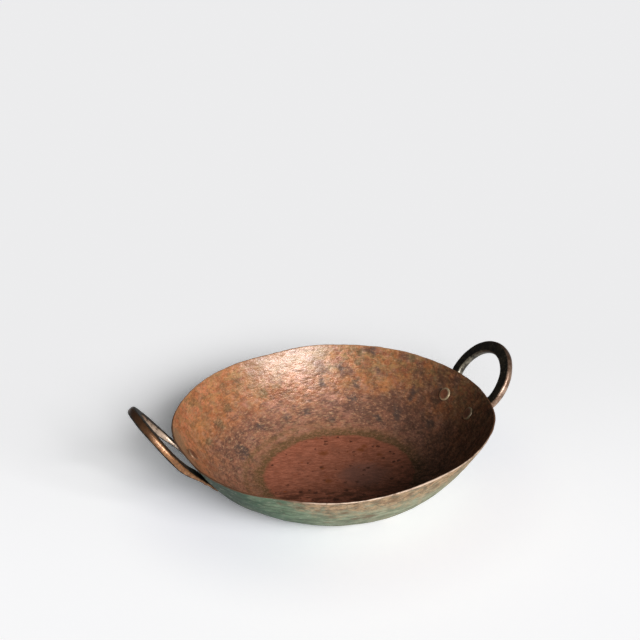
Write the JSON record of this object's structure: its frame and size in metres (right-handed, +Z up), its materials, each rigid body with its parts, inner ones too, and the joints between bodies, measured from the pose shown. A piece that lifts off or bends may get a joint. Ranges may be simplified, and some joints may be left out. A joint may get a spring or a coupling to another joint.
{
  "type": "copper pan",
  "caption": "Wide hammered copper pan with a flat base, a flared wall and tall forged loop handles riveted to the wall.",
  "frame": {"origin": "centre of the flat underside, on the axis of the bowl", "axes": "+Z up, out of the open bowl; X runs through both handles, with the taller loop at -X; Y runs front to back"},
  "size_m": [0.4978, 0.4, 0.1532],
  "materials": {
    "bowl_copper": "hammered copper, aged brown inside and green outside",
    "handle_bronze": "forged, dark patina with worn coppery edges",
    "rivet_copper": "hammered rivet heads, aged"
  },
  "bodies": {
    "root": {"bowl": "bowl_copper", "right_handle": "handle_bronze", "left_handle": "handle_bronze", "right_front_rivet": "rivet_copper", "right_back_rivet": "rivet_copper", "left_front_rivet": "rivet_copper", "left_back_rivet": "rivet_copper"}
  },
  "joints": []
}
